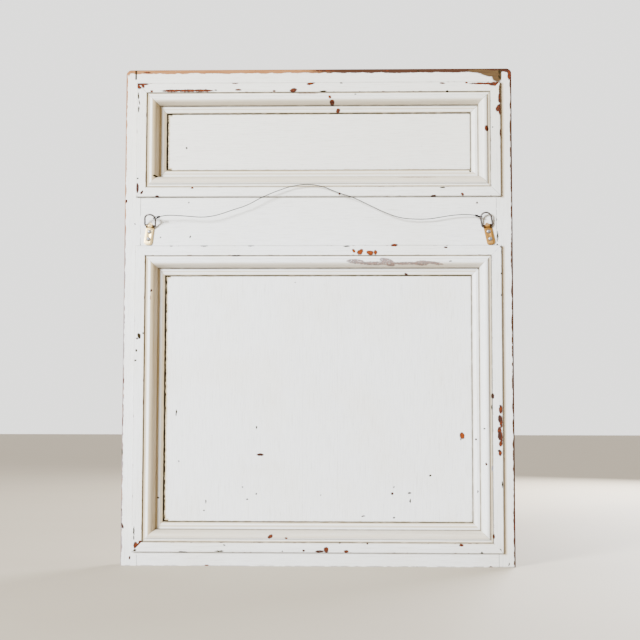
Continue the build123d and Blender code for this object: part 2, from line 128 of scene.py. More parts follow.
# Wear seen on the wall side: kind, place across, place up, half width, half height, turn in degrees
WEAR = {
    "top_rail": [
        ("chip", 294, 838.5, 5, 1, 0),
        ("chip", -11, 840, 17, 1, 0),
        ("chip", -117, 840, 5, 1, 0),
        ("dark", -171, 839, 2, 1, 0),
        ("bare", -278, 838, 19, 3, -3),
        ("bare", -295, 834, 19, 5, -10),
        ("bare", -306, 830, 8, 9, 0),
        ("dark", -309.5, 836, 1.5, 4, 0),
        ("dark", -309.5, 828, 1.5, 3, 20),
    ],
    "middle_rail": [
        ("dark", 217, 554, 1, 2, -30),
        ("dark", 268, 553, 1, 1, 0),
        ("dark", 220, 613, 1, 1, 0),
        ("dark", 303, 541, 1.5, 1, 0),
        ("stain", -270, 611, 1.5, 1.5, 0),
        ("dark", -304, 602, 1, 2, 0),
        ("chip", -130, 539, 5, 2, 0),
    ],
    "bottom_rail": [
        ("chip", 185, 1, 3, 1, 0),
        ("chip", -289, 0, 2.5, 1.5, 0),
        ("stain", -166, 0, 1.5, 1, 0),
    ],
    "stile_left": [
        ("chip", -327, 832, 3, 8, -10),
        ("chip", -322, 838.5, 6, 2, 0),
        ("dark", -303, 582, 1, 2, 0),
        ("dark", -304.5, 554, 1, 8, 0),
        ("dark", -304, 539, 1, 2, 0),
        ("stain", -329, 643, 1, 3, 0),
        ("stain", -329, 449, 1, 3, 0),
        ("stain", -329, 400, 1, 6, 0),
        ("chip", -329, 66, 1, 12, 0),
        ("stain", -329, 148, 1, 8, 0),
        ("dark", -319, 5, 1, 2.5, -10),
    ],
    "stile_right": [
        ("stain", 327, 615, 1.5, 2.5, 0),
        ("dark", 312, 576, 1, 1, 0),
        ("stain", 314, 13, 1.5, 2.5, 0),
        ("stain", 329, 93, 1, 2.5, 0),
        ("stain", 327, 66, 1.5, 4.5, 20),
        ("chip", 328, 308, 1, 4, 0),
        ("chip", 329, 267, 1, 3, 0),
        ("chip", 329, 240, 1, 6, 0),
        ("dark", 329, 189, 1, 5, 0),
    ],
    "upper_moulding_top": [
        ("chip", 301, 817, 9, 2, 0),
        ("chip", 300, 813.5, 2, 3.5, 30),
        ("chip", 250, 805, 14, 2, 0),
        ("chip", 224, 805, 16, 2, 0),
        ("chip", 197, 805, 15, 2, 0),
        ("chip", 285, 804.5, 2, 1.5, 0),
        ("chip", 142, 818, 4.5, 1.5, 0),
        ("chip", 136, 806, 4.5, 1.5, 0),
        ("chip", 75, 804, 2, 1.5, 0),
        ("dark", 175, 806, 2, 1, 0),
        ("chip", 12, 816.5, 6, 2, 10),
        ("chip", 42, 805, 5.5, 3, 10),
        ("dark", -40, 817, 2, 1, 0),
        ("dark", -9, 803, 5.5, 1, 0),
        ("chip", -20, 793, 2.5, 2, -45),
        ("chip", -24, 785, 3.5, 3, 0),
        ("chip", -34, 773.5, 3, 3.5, -40),
        ("chip", -212, 816, 4, 1, 0),
        ("chip", -253, 816.5, 2, 1.5, 0),
        ("dark", -220, 802, 2, 1.5, 0),
        ("dark", -64, 798.5, 1.5, 1, 0),
        ("chip", -284, 815, 22, 1.5, 0),
        ("chip", -302, 814, 10, 3, 0),
        ("bare", -308, 817.5, 4, 3.5, 0),
        ("rub", 18, 800, 16, 1, 0),
    ],
    "upper_moulding_bottom": [
        ("stain", 300, 629.5, 2, 3, -30),
        ("chip", 214, 637, 2, 1.5, 0),
        ("stain", 274, 622.5, 3, 1.5, 0),
        ("rub", -170, 655, 30, 1, 0),
        ("dark", -211, 636.5, 4, 1, 0),
        ("stain", -196, 622.5, 4, 1.5, 0),
        ("chip", -245, 625, 2, 2.5, 40),
        ("chip", -37, 626, 1.5, 2, 0),
        ("dark", -260, 668, 1.5, 2, 0),
    ],
    "upper_moulding_left": [
        ("bare", -310.5, 805, 2.5, 11, 0),
        ("chip", -309.5, 789.5, 3, 7.5, 0),
        ("chip", -307, 773, 3.5, 6, -25),
        ("chip", -309, 767, 1.5, 5, 0),
        ("chip", -310, 730, 1.5, 5.5, 0),
        ("chip", -286.5, 738, 3, 4, 0),
        ("dark", -296.5, 740, 1, 1, 0),
    ],
    "upper_moulding_right": [
        ("chip", 306, 814, 3.5, 5, 0),
        ("dark", 307.5, 796.5, 1, 5.5, 0),
        ("dark", 306, 785, 1, 3.5, 10),
        ("dark", 307, 773, 1, 4.5, 0),
        ("dark", 307.5, 653.5, 1.5, 1.5, 0),
        ("stain", 307.5, 637, 2, 8, 0),
        ("dark", 277.5, 658, 3.5, 1.5, -15),
    ],
    "lower_moulding_top": [
        ("stain", 139, 521, 6.5, 1, 0),
        ("dark", 193, 537.5, 6, 1, 0),
        ("dark", 113, 537.5, 4.5, 1, 0),
        ("dark", 249, 537.5, 2.5, 1, 0),
        ("dark", -49, 536.5, 5, 1, 0),
        ("chip", -129.5, 537.5, 4.5, 1.5, 0),
        ("stain", -216, 534.5, 3, 1.5, 0),
        ("blob", -61, 528.5, 2, 3, 30),
        ("blob", -71, 526, 4, 3.5, 0),
        ("blob", -74, 528.5, 3, 3, 0),
        ("blob", -85.5, 526, 3, 2.5, 0),
        ("blob", -89.5, 525, 4, 3.5, 0),
        ("blob", -97.5, 526, 2.5, 3.5, 0),
        ("scrape", -64, 510.5, 13, 3.5, -3),
        ("scrape", -94.5, 507.5, 22, 2.5, 0),
        ("scrape", -118, 510, 12, 5, -20),
        ("scrape", -150.5, 507.5, 24, 2, 0),
        ("scrape", -176.5, 508, 11, 3.5, 0),
        ("scrape", -196, 508, 14, 2, -8),
        ("dark", -224, 511, 2.5, 1, 0),
        ("stain", -273, 499.5, 2, 2, 0),
        ("stain", -150, 491, 3, 2, -35),
    ],
    "lower_moulding_bottom": [
        ("dark", 304.5, 26, 2.5, 1.5, 0),
        ("chip", 78, 49.5, 4, 2.5, 20),
        ("chip", 51.5, 47, 2, 1.5, 0),
        ("stain", 22.5, 26.5, 2, 1.5, 0),
        ("stain", -4, 25.5, 6.5, 2, 0),
        ("chip", -15, 28, 3.5, 4, 0),
        ("dark", 58, 25.5, 1, 1, 0),
        ("dark", 155, 35, 1.5, 1, -30),
        ("dark", 224, 23.5, 6.5, 1, 0),
        ("dark", 163.5, 25, 7, 1, 0),
        ("chip", -48.5, 25.5, 3.5, 2, 0),
        ("stain", -37.5, 39.5, 1.5, 1, 0),
        ("stain", -83.5, 38.5, 1.5, 1.5, 0),
        ("chip", -239.5, 36.5, 3, 2, 0),
        ("dark", -273.5, 23, 1.5, 3, 0),
    ],
    "lower_moulding_left": [
        ("stain", -306.5, 536, 4, 1.5, -25),
        ("dark", -309, 490, 1, 1.5, 0),
        ("dark", -309.5, 453.5, 1, 1.5, 0),
        ("stain", -293.5, 284, 2.5, 4, 0),
        ("dark", -292, 265, 1, 3.5, 0),
        ("stain", -305.5, 267, 1.5, 2, 0),
        ("chip", -306.5, 261.5, 2.5, 6, 0),
        ("stain", -304.5, 246, 2.5, 6, 0),
        ("chip", -307, 240.5, 2, 9, 0),
        ("chip", -304, 226.5, 3, 5.5, 0),
        ("stain", -304, 218, 2.5, 6.5, 0),
        ("chip", -307, 215, 2, 9.5, 0),
        ("chip", -306, 204.5, 2.5, 4, 0),
        ("stain", -303.5, 192.5, 2.5, 2, 0),
        ("chip", -305, 188.5, 2.5, 4, 0),
        ("stain", -266.5, 211.5, 1.5, 1.5, 0),
        ("stain", -281.5, 170.5, 1.5, 2.5, 0),
        ("blue", -292, 163, 1, 4, 0),
        ("dark", -279, 229.5, 1.5, 1, 0),
        ("chip", -293.5, 51, 1.5, 3.5, 0),
        ("dark", -293, 36.5, 1.5, 3, -20),
        ("dark", -308, 137, 1, 5, 0),
        ("stain", -269, 124, 1, 2, 0),
        ("dark", -304.5, 26.5, 1, 4, 0),
    ],
    "lower_moulding_right": [
        ("dark", 306.5, 58, 1, 7, 0),
        ("dark", 306.5, 47, 1, 3, 0),
        ("chip", 303.5, 34, 3, 5, 0),
        ("chip", 300, 35, 4, 1.5, 40),
        ("chip", 296, 38.5, 2.5, 3, -30),
        ("dark", 269, 112, 1.5, 1.5, 0),
        ("dark", 301.5, 384.5, 2.5, 4.5, 15),
        ("stain", 305, 380, 1.5, 1.5, 0),
        ("dark", 295, 389, 1.5, 1, 0),
        ("dark", 307.5, 343, 1.5, 1.5, 0),
        ("stain", 282, 461.5, 1.5, 2, 0),
        ("rub", 283, 449.5, 1, 3.5, 0),
        ("dark", 306, 360, 1.5, 2, 0),
    ],
    "upper_panel": [
        ("dark", 227, 710.5, 1.5, 1.5, 60),
    ],
    "lower_panel_board_left": [
        ("blob", -244, 217.5, 3.5, 5, 15),
        ("stain", -241.5, 211.5, 1, 1.5, 0),
        ("stain", -126, 120, 2, 2, 0),
        ("dark", -155, 121, 2.5, 1.5, 0),
        ("dark", -190, 150.5, 2, 1.5, 0),
        ("dark", -156, 108, 1, 3, 0),
        ("dark", -128.5, 79.5, 1.5, 1.5, 0),
        ("dark", -128.5, 131, 1, 1, 0),
        ("stain", -77, 82, 3, 1, 10),
    ],
    "lower_panel_board_centre": [
        ("dark", -40, 224.5, 1.5, 1.5, 0),
        ("dark", -5, 117, 1, 1, 0),
    ],
    "lower_panel_board_right": [
        ("dark", 39, 477, 1, 1, 0),
        ("stain", 97.5, 184.5, 5.5, 2, 0),
        ("dark", 103.5, 230.5, 1, 2, 0),
        ("dark", 127, 130, 1, 1, 0),
        ("dark", 103.5, 118.5, 1, 1.5, 0),
        ("dark", 119, 109.5, 1.5, 1, 0),
        ("dark", 189, 105.5, 1, 2.5, 0),
        ("dark", 192, 90.5, 1.5, 1, 0),
        ("dark", 240.5, 255, 1, 5, -5),
        ("dark", 235.5, 173.5, 1.5, 1, 0),
    ],
}


# Settings a user would change


def srgb(red, green, blue):
    """Linear colour from the 0 to 255 numbers of a colour picker."""
    parts = [part / 255 for part in (red, green, blue)]
    return (*[p / 12.92 if p <= 0.04045 else ((p + 0.055) / 1.055) ** 2.4 for p in parts], 1.0)


def colour_setting(name, description, value):
    return bpy.props.FloatVectorProperty(
        name=name, description=description, subtype="COLOR", size=4, min=0.0, max=1.0, default=value
    )


def amount_setting(name, description, value, **limits):
    return bpy.props.FloatProperty(name=name, description=description, default=value, min=0.0, **limits)


def length_setting(name, description, value):
    return amount_setting(name, description, value, unit="LENGTH", subtype="DISTANCE")


class MirrorPaint(bpy.types.PropertyGroup):
    """Colours of the paint and of what shows where it has gone."""

    paint: colour_setting("Paint", "Off-white top coat", (0.80, 0.80, 0.79, 1.0))
    aged_paint: colour_setting("Aged paint", "Top coat where it has yellowed", (0.74, 0.71, 0.63, 1.0))
    undercoat: colour_setting("Undercoat", "Rust-brown coat under the chips", (0.135, 0.026, 0.005, 1.0))
    bright_undercoat: colour_setting("Bright undercoat", "Freshest chips", (0.19, 0.038, 0.005, 1.0))
    stained_wood: colour_setting("Stained wood", "Red-brown wood of old dents", (0.040, 0.016, 0.011, 1.0))
    bare_wood: colour_setting("Bare wood", "Tan wood of the worn corner", (0.092, 0.055, 0.021, 1.0))
    # Painted shade: the tan of shaded slopes and of shadows that the mouldings cast, with some yellowed paint
    yellowed_and_shade: colour_setting("Yellowed paint", "Paint in the recesses, gone tan", (0.46, 0.35, 0.19, 1.0))
    # Grime, also used as painted shade in the grooves and along the seams
    grime_and_shade: colour_setting("Grime", "Tan dirt in the grooves", (0.15, 0.105, 0.045, 1.0))
    # Dark of open joints, also painted shadow along the seams and the sight edges
    crack_and_shade: colour_setting("Crack", "Dirt in open joints", (0.020, 0.013, 0.004, 1.0))
    worn_edge: colour_setting("Worn edge", "Tan wood of the left outer edge", (0.30, 0.14, 0.055, 1.0))
    grey_edge: colour_setting("Grey edge", "Dirty paint of the left outer edge", (0.20, 0.16, 0.16, 1.0))
    dark_edge: colour_setting("Dark edge", "Brown wood of the right outer edge", (0.050, 0.020, 0.010, 1.0))
    blue_mark: colour_setting("Blue mark", "Rubbed-off blue-grey paint", (0.18, 0.20, 0.30, 1.0))
    sheen: amount_setting("Roughness", "Roughness of the top coat", 0.46, max=1.0, subtype="FACTOR")


class MirrorMetals(bpy.types.PropertyGroup):
    """Colours of the hangers, rings, screws, wire and mirror plate."""

    brass: colour_setting("Brass", "Plating of the left strap", srgb(170, 126, 66))
    pale_brass: colour_setting("Pale brass", "Plating of the right strap", srgb(228, 200, 142))
    zinc: colour_setting("Zinc", "Screw heads", srgb(150, 150, 154))
    ring_steel: colour_setting("Ring steel", "Dull wire of the rings", srgb(104, 98, 96))
    wire_steel: colour_setting("Wire steel", "Strands of the picture wire", srgb(46, 44, 44))
    silvering: colour_setting("Silvering", "Mirror plate", srgb(232, 236, 236))
    card: colour_setting("Card", "Backing card", srgb(150, 118, 80))


class MirrorWire(bpy.types.PropertyGroup):
    """The picture wire's make-up."""

    diameter: length_setting("Diameter", "Over the strands", 0.0015)
    lay: length_setting("Lay", "Length in which a strand goes once round", 0.008)
    strands: bpy.props.IntProperty(
        name="Strands", description="Strands round the core", default=6, min=3, max=9
    )


class MirrorStage(bpy.types.PropertyGroup):
    """Floor, lights and background."""

    floor_size: length_setting("Floor size", "Side of the square floor", 30.0)
    floor_colour: colour_setting("Floor colour", "Pale floor", (0.44, 0.38, 0.29, 1.0))
    background: colour_setting("Background", "Pale background behind the mirror", srgb(250, 249, 246))
    background_strength: amount_setting("Background strength", "Brightness of the background", 2.2)
    ambient: colour_setting("Ambient light", "Warm light that fills the shadows", (1.0, 0.66, 0.27, 1.0))
    ambient_strength: amount_setting("Ambient strength", "Brightness of the light in the shadows", 0.30)
    key_sun: amount_setting("Key sun", "Even cool light from the upper left of the wall side", 7.4)
    key_power: amount_setting("Key light", "Nearer cool light beside the even one", 115.0, unit="POWER")
    front_power: amount_setting("Front light", "Light on the mirror side", 260.0, unit="POWER")


# Shader building


class Field:
    """A number that varies over a surface, worked out by shader nodes."""

    def __init__(self, tree, socket):
        self.tree = tree
        self.socket = socket

    def worked(self, operation, *others):
        node = self.tree.nodes.new("ShaderNodeMath")
        node.operation = operation
        for socket, value in zip(node.inputs, (self, *others)):
            feed(self.tree, socket, value)
        return Field(self.tree, node.outputs[0])

    def __add__(self, other):
        return self.worked("ADD", other)

    def __sub__(self, other):
        return self.worked("SUBTRACT", other)

    def __mul__(self, other):
        return self.worked("MULTIPLY", other)

    def __abs__(self):
        return self.worked("ABSOLUTE")

    def taken_from(self, whole):
        return self.worked("MULTIPLY_ADD", -1.0, whole)

    def least(self, other):
        return self.worked("MINIMUM", other)

    def most(self, other):
        return self.worked("MAXIMUM", other)

    def rise(self, low, high, to_low=0.0, to_high=1.0):
        """Smooth step between two values; it falls where low is the greater."""
        node = self.tree.nodes.new("ShaderNodeMapRange")
        node.interpolation_type = "SMOOTHSTEP"
        for socket, value in zip(node.inputs, (self, low, high, to_low, to_high)):
            feed(self.tree, socket, value)
        return Field(self.tree, node.outputs[0])

    def near(self, centre, half_width):
        """1 on a line across the surface, 0 past its half width, which may be a field too."""
        return abs(self - centre).rise(half_width * 1.35, half_width * 0.55)


def either(first, second):
    """The greater of two fields, or the one that there is."""
    if first is None or second is None:
        return second if first is None else first
    return first.most(second)


def feed(tree, socket, value):
    """Gives a socket a fixed value, or links it to another node's output."""
    if isinstance(value, Field):
        value = value.socket
    if isinstance(value, bpy.types.NodeSocket):
        tree.links.new(value, socket)
    else:
        socket.default_value = value


class Finish:
    """One material while it is made. Its place is the surface's own, in millimetres."""

    def __init__(self, name):
        self.material = bpy.data.materials.new(name)
        self.material.use_nodes = True
        self.tree = self.material.node_tree
        self.shader = self.tree.nodes["Principled BSDF"]
        coordinates = self.tree.nodes.new("ShaderNodeTexCoord")
        self.place = self.stretched(coordinates.outputs["Object"], (1000, 1000, 1000))
        separate = self.tree.nodes.new("ShaderNodeSeparateXYZ")
        feed(self.tree, separate.inputs[0], self.place)
        self.x, self.y, self.z = (Field(self.tree, output) for output in separate.outputs)

    def vector(self, operation, *values):
        node = self.tree.nodes.new("ShaderNodeVectorMath")
        node.operation = operation
        for socket, value in zip(node.inputs, values):
            feed(self.tree, socket, value)
        return node

    def stretched(self, vector, factors):
        return self.vector("MULTIPLY", vector, factors).outputs[0]

    def noise_node(self, vector, scale, detail=2.0, roughness=0.5):
        node = self.tree.nodes.new("ShaderNodeTexNoise")
        feed(self.tree, node.inputs["Vector"], vector)
        feed(self.tree, node.inputs["Scale"], scale)
        feed(self.tree, node.inputs["Detail"], detail)
        feed(self.tree, node.inputs["Roughness"], roughness)
        return node

    def noise(self, vector, scale, detail=2.0, roughness=0.5):
        """Soft noise from about 0.3 to 0.7. Scale is in features to the millimetre."""
        return Field(self.tree, self.noise_node(vector, scale, detail, roughness).outputs[0])

    def wandering(self, coarse, fine):
        """The surface's place, moved about by a coarse and a fine amount in millimetres."""
        moved = self.place
        for amount, scale in ((coarse, 0.3), (fine, 1.4)):
            jitter = self.noise_node(self.place, scale, 1.0).outputs["Color"]
            jitter = self.vector("SUBTRACT", jitter, (0.5, 0.5, 0.5)).outputs[0]
            moved = self.vector("MULTIPLY_ADD", jitter, (2 * amount,) * 3, moved).outputs[0]
        return moved

    def spots(self, place, marks, level):
        """Distance to the nearest of some marks: under 1 inside it."""
        nearest = None
        for _, across, up, half_width, half_height, turn in marks:
            mapping = self.tree.nodes.new("ShaderNodeMapping")
            mapping.vector_type = "TEXTURE"
            feed(self.tree, mapping.inputs["Vector"], place)
            mapping.inputs["Location"].default_value = (across, level, up)
            mapping.inputs["Rotation"].default_value = (0.0, math.radians(turn), 0.0)
            mapping.inputs["Scale"].default_value = (half_width, 60.0, half_height)
            distance = Field(self.tree, self.vector("LENGTH", mapping.outputs[0]).outputs["Value"])
            nearest = distance if nearest is None else nearest.least(distance)
        return nearest

    def cells(self, scale, random_share, radius):
        """Scattered round specks: a share of the cells of a grid, each with one speck."""
        node = self.tree.nodes.new("ShaderNodeTexVoronoi")
        feed(self.tree, node.inputs["Vector"], self.place)
        feed(self.tree, node.inputs["Scale"], scale)
        chosen = self.tree.nodes.new("ShaderNodeSeparateXYZ")
        feed(self.tree, chosen.inputs[0], node.outputs["Color"])
        picked = Field(self.tree, chosen.outputs[0]).rise(random_share, random_share * 0.98)
        speck = Field(self.tree, node.outputs["Distance"]).rise(radius * scale * 1.3, radius * scale * 0.7)
        return picked * speck

    def mixed(self, share, first, second):
        node = self.tree.nodes.new("ShaderNodeMix")
        node.data_type = "RGBA"
        for socket, value in zip((node.inputs[0], node.inputs[6], node.inputs[7]), (share, first, second)):
            feed(self.tree, socket, value)
        return node.outputs[2]

    def finished(self, colour, roughness, height=None, **sockets):
        """Joins the layers to the shader. Height is in millimetres."""
        feed(self.tree, self.shader.inputs["Base Color"], colour)
        feed(self.tree, self.shader.inputs["Roughness"], roughness)
        if height is not None:
            bump = self.tree.nodes.new("ShaderNodeBump")
            bump.inputs["Distance"].default_value = MM
            feed(self.tree, bump.inputs["Height"], height)
            feed(self.tree, self.shader.inputs["Normal"], bump.outputs[0])
        for name, value in sockets.items():
            self.shader.inputs[name.replace("_", " ")].default_value = value
        return self.material


# Old paint


class OldPaint(Finish):
    """Worn off-white paint over a rust-brown coat and wood."""

    def __init__(self, name, grain):
        super().__init__(name)
        self.colours = bpy.context.scene.mirror_paint
        along = {"across": (0.03, 1.0, 1.0), "upright": (1.0, 1.0, 0.03)}[grain]
        self.grain = self.stretched(self.place, along)
        self.back = self.y.rise(-4.0, 0.0)
        self.marked = self.back
        self.broken = self.noise(self.place, 0.07, 3.0, 0.6)
        self.masks = {}

    def add(self, layer, mask):
        """Adds to where a layer shows: tan, which is painted shade with some yellowed paint; the grime film,
        which is also painted shade; worn; edge; or crack, which is dark joints with some painted shadow.
        """
        self.masks[layer] = either(self.masks.get(layer), mask)

    def top_coat(self):
        """Paint with brush marks along the grain, cloudy yellowing and a few specks."""
        clouds = self.noise(self.place, 0.008, 3.0, 0.55).rise(0.42, 0.68)
        streaks = self.noise(self.grain, 0.9, 3.0, 0.6)
        specks = self.cells(0.09, 0.16, 0.55)
        hairlines = self.noise(self.grain, 0.35, 2.0, 0.5).near(0.5, 0.004)
        cream = (clouds * 0.45).most(self.z.rise(500.0, 720.0) * 0.75)
        colour = self.mixed(cream, self.colours.paint, self.colours.aged_paint)
        foot = self.z.rise(70.0, 20.0) * self.back * 0.14
        colour = self.mixed((streaks.rise(0.45, 0.75) * 0.2 + foot), colour, self.colours.grime_and_shade)
        colour = self.mixed(hairlines * 0.2, colour, self.colours.stained_wood)
        colour = self.mixed(specks * 0.5, colour, self.colours.stained_wood)
        height = streaks * 0.05 + self.noise(self.place, 0.5, 3.0) * 0.05
        return colour, height

    def layered(self, marks, level):
        """The whole finish: top coat, tan painted shade, grime with painted shade, rubs, chips, bare wood and
        cracks with painted shadow, from the bottom up.
        """
        colour, height = self.top_coat()
        colours = self.colours
        patches = self.noise(self.place, 0.05, 3.0)
        roughness = patches.rise(0.3, 0.7, colours.sheen - 0.06, colours.sheen + 0.08)
        tan, film_and_shade, worn, edges, cracks_and_shadow = map(self.masks.get, ("tan", "film_and_shade", "worn", "edge", "crack_and_shade"))
        if tan is not None:
            # Tan layer: painted shade and painted shadow, with some yellowed paint in the recesses
            mottled = self.noise(self.grain, 0.25, 3.0, 0.6).rise(0.3, 0.7, 0.8, 1.0)
            colour = self.mixed(tan * mottled * self.back, colour, colours.yellowed_and_shade)
        # Grime film: dirt, and painted shade in recesses and along seams
        if film_and_shade is not None:
            film_and_shade = film_and_shade * self.broken.rise(0.25, 0.6, 0.45, 1.0)
            colour = self.mixed(film_and_shade * 0.75, colour, colours.grime_and_shade)
            roughness = roughness + film_and_shade * 0.15
        place = self.wandering(1.1, 0.45)
        stains = self.noise(self.place, 0.45, 2.0).rise(0.4, 0.6)
        undercoat = self.mixed(stains, colours.undercoat, colours.stained_wood)
        wood_grain = self.noise(self.grain, 0.8, 3.0, 0.65).rise(0.35, 0.7)
        bare = self.mixed(wood_grain * 0.6, colours.bare_wood, colours.stained_wood)
        dull = self.noise(self.place, 0.5, 2.0).rise(0.45, 0.62)
        blob = self.mixed(dull, colours.bright_undercoat, colours.undercoat)
        under = {
            "rub": colours.undercoat,
            "scrape": self.mixed(0.1, undercoat, colours.paint),
            "bare": bare,
            "chip": undercoat,
            "blob": blob,
            "stain": colours.stained_wood,
            "blue": colours.blue_mark,
            "dark": colours.crack_and_shade,
        }
        opacity = {"rub": 0.55, "scrape": 0.9, "dark": 1.0, "blue": 0.7}
        if worn is not None:
            colour = self.mixed(worn, colour, undercoat)
        if edges is not None:
            lower = self.z.rise(620.0, 480.0) * self.broken.rise(0.35, 0.55, 0.6, 1.0)
            lighter = self.mixed(wood_grain * 0.35, colours.worn_edge, colours.undercoat)
            lighter = self.mixed(lower, lighter, colours.grey_edge)
            edge_colour = self.mixed(self.x.rise(-40.0, 40.0), colours.dark_edge, lighter)
            colour = self.mixed(edges, colour, edge_colour)
        gone = either(worn, edges)
        for kind, beneath in under.items():
            chosen = [mark for mark in marks if mark[0] == kind]
            if not chosen:
                continue
            distance = self.spots(place, chosen, level)
            inside = distance.rise(1.28, 1.02) * self.marked
            if kind == "scrape":
                inside = inside * self.noise(self.place, 0.4, 4.0, 0.75).rise(0.32, 0.46)
            if kind in ("chip", "blob", "bare"):
                rim = distance.rise(1.5, 1.15) * self.marked
                colour = self.mixed(rim * 0.45, colour, colours.stained_wood)
            colour = self.mixed(inside * opacity.get(kind, 1.0), colour, beneath)
            if kind in ("chip", "blob"):
                colour = self.mixed(inside * distance.rise(0.55, 1.05) * 0.65, colour, colours.stained_wood)
            gone = either(gone, inside)
        if gone is not None:
            roughness = roughness + gone * 0.25
            height = height - gone * 0.3
        # Cracks: dark joints, and painted shadow beside the mouldings
        if cracks_and_shadow is not None:
            colour = self.mixed(cracks_and_shadow, colour, colours.crack_and_shade)
            height = height - cracks_and_shadow * 0.4
        bare_places = either(gone, cracks_and_shadow)
        gloss = 0.4 if bare_places is None else bare_places.rise(0.0, 1.0, 0.4, 0.06)
        feed(self.tree, self.shader.inputs["Specular IOR Level"], gloss)
        return self.finished(colour, roughness, height)


def outside_of(finish, half, low, high):
    """Distance outside an upright rectangle centred on the middle; negative within it."""
    return (abs(finish.x) - half).most((finish.z.taken_from(low)).most(finish.z - high))


def frame_paint(name, grain):
    """Paint of the stiles and rails: seams round the mouldings with grime and painted shade, painted shadow
    that the mouldings cast beside their outer edges on the -X side, joint lines and worn outer arrises.
    """
    finish = OldPaint(name, grain)
    on_face = abs(finish.y).rise(18.2, 18.7)
    finish.marked = finish.y.rise(10.0, 14.0)
    broken = finish.broken
    side = abs(finish.x)
    for low, high in MOULDING_LEVELS.values():
        distance = abs(outside_of(finish, MOULDING_HALF, low, high))
        # Grime and painted shade along the seams round the mouldings
        finish.add("film_and_shade", distance.rise(2.6, 0.3) * on_face * 0.4)
        # Painted shadow that the moulding casts onto the stile beside its -X outer edge, in the tan of the
        # painted shade
        shaded = distance.rise(7.4, 5.2) * finish.x.rise(-MOULDING_HALF + 2.0, -MOULDING_HALF) * 0.8
        between = finish.z.rise(low - 5.0, low) * finish.z.rise(high + 2.0, high - 4.0)
        finish.add("tan", shaded * between * on_face)
        # Seam lines strongest along the moulding's foot and towards -X: dark joints with painted shadow
        strength = finish.z.near(low, 3.0) * 0.95
        strength = strength.most(finish.z.near(high, 3.0) * 0.5).most(finish.x.rise(0.0, -300.0, 0.3, 0.9))
        seam = distance.near(0.0, 0.7) * on_face * strength
        finish.add("crack_and_shade", seam * broken.rise(0.3, 0.5, 0.55, 1.0))
    joints = side.near(OPENING_HALF, 0.4) * finish.z.rise(TOP_RAIL_FOOT + 1, TOP_RAIL_FOOT - 1)
    finish.add("crack_and_shade", joints * broken.rise(0.36, 0.5) * on_face * 0.75)
    lap = side.near(LAP_HALF, finish.x.rise(-40.0, 40.0, 0.9, 1.7))
    lap = lap * finish.z.rise(HEIGHT - 18.5, HEIGHT - 16.0)
    finish.add("crack_and_shade", lap * on_face * finish.back * finish.x.rise(-40.0, 40.0, 0.45, 1.0))
    ragged = finish.noise(finish.place, 0.06, 4.0, 0.65)
    edge_line = ragged.rise(0.3, 0.7, 0.9, -1.2)
    reach = side - edge_line
    outer = (reach - finish.x.rise(40.0, -40.0, 0.0, -0.9)).rise(STILE_HALF - 2.7, STILE_HALF - 1.7)
    arris = abs(finish.y).rise(14.5, 16.5)
    finish.add("edge", outer * arris)
    finish.add("edge", (finish.z - edge_line * 0.4).rise(HEIGHT - 1.4, HEIGHT - 0.8) * arris * 0.3)
    finish.add("edge", finish.z.rise(1.5, 0.8) * broken.rise(0.35, 0.55) * arris * 0.6)
    corner = (side - (STILE_HALF - 9.0)).most(0.0).worked("POWER", 2.0)
    corner = corner + (finish.z - (HEIGHT - 9.0)).most(0.0).worked("POWER", 2.0)
    round_edge = (corner.worked("SQRT") - edge_line).rise(1.4, 2.8)
    finish.add("edge", round_edge * finish.z.rise(HEIGHT - 13.0, HEIGHT - 7.0) * finish.y.rise(13.0, 16.0))
    scattered = finish.cells(0.016, 0.25, 2.6) * finish.back.taken_from(1.0)
    finish.add("worn", scattered * finish.noise(finish.place, 0.5, 2.0).rise(0.42, 0.5))
    return finish.layered(WEAR.get(name, []), BACK_FACE)


# Bands of each side's moulding painted tan as painted shade, strongest on the right where the slopes face away
# from the key light, with some yellowed paint: from and to, inwards from its outer edge, and strength
TAN_SHADE_BANDS = {
    "right": ((15.6, 21.4, 0.95), (26.5, 40.2, 1.0), (44.0, 49.0, 1.0)),
    "left": ((17.4, 22.0, 0.85), (35.6, 38.0, 0.6), (46.8, 49.0, 0.5)),
    "top": ((16.4, 18.6, 0.7), (29.5, 37.6, 0.55), (41.0, 43.0, 0.75), (47.0, 49.0, 0.8)),
    "bottom": ((15.4, 19.4, 0.75), (24.0, 37.8, 0.6), (40.4, 44.0, 0.7), (46.0, 49.0, 0.85)),
}


